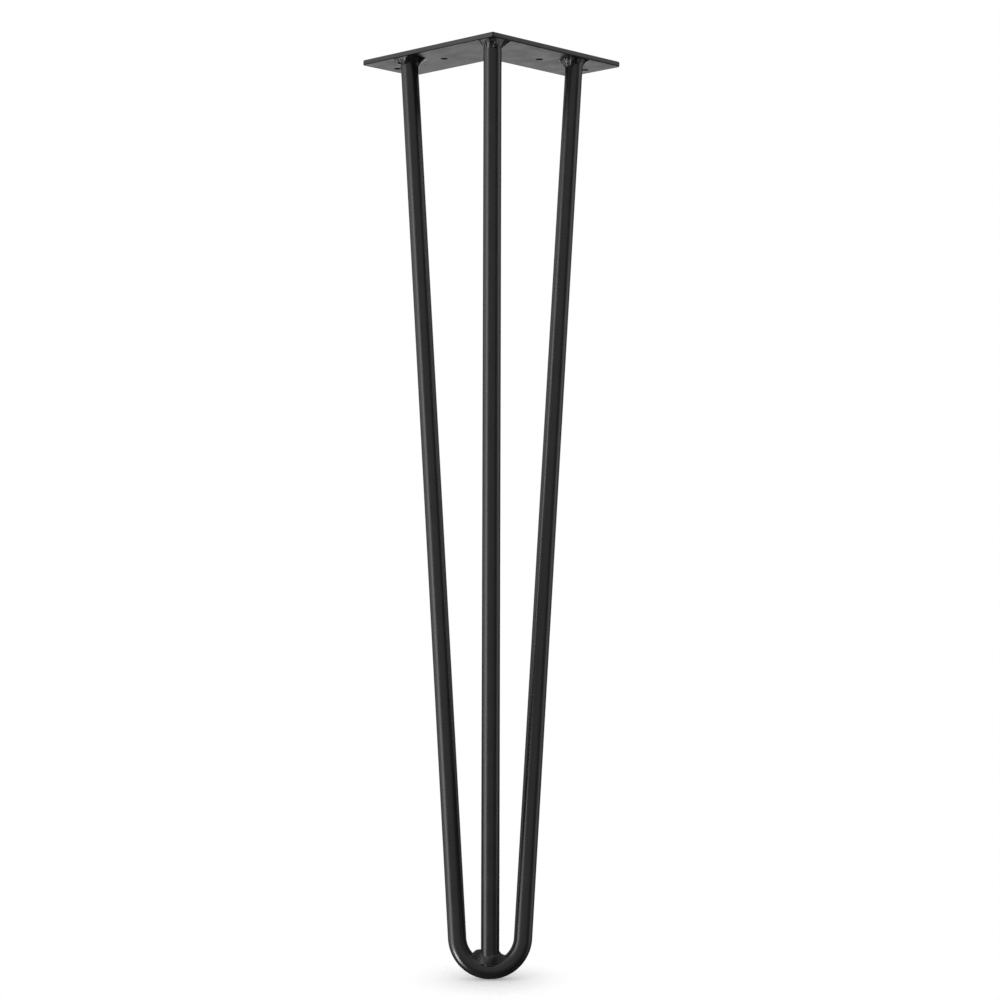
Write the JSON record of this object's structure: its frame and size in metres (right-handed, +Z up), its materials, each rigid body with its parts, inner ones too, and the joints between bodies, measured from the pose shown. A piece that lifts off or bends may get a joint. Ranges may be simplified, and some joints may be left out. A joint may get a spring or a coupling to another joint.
{
  "type": "hairpin table leg",
  "caption": "Splayed hairpin table leg of round steel bar with a welded corner rod, a bent bar foot and an L-shaped screw-on mounting plate, satin black.",
  "frame": {"origin": "on the mounting face, above the point where the corner rod meets the plate", "axes": "+Z up out of the mounting face towards the table top, +Y along the plate's diagonal towards the middle of the table, +X to the right as seen from the outer corner"},
  "size_m": [0.2092, 0.1734, 0.7199],
  "materials": {
    "bar_coat": "satin black powder coat",
    "plate_coat": "satin black powder coat",
    "weld_coat": "glossier black coat over rippled weld"
  },
  "bodies": {
    "root": {"mounting_plate": "plate_coat", "hairpin_rod": "bar_coat", "corner_rod": "bar_coat", "weld_beads": "weld_coat"}
  },
  "joints": []
}
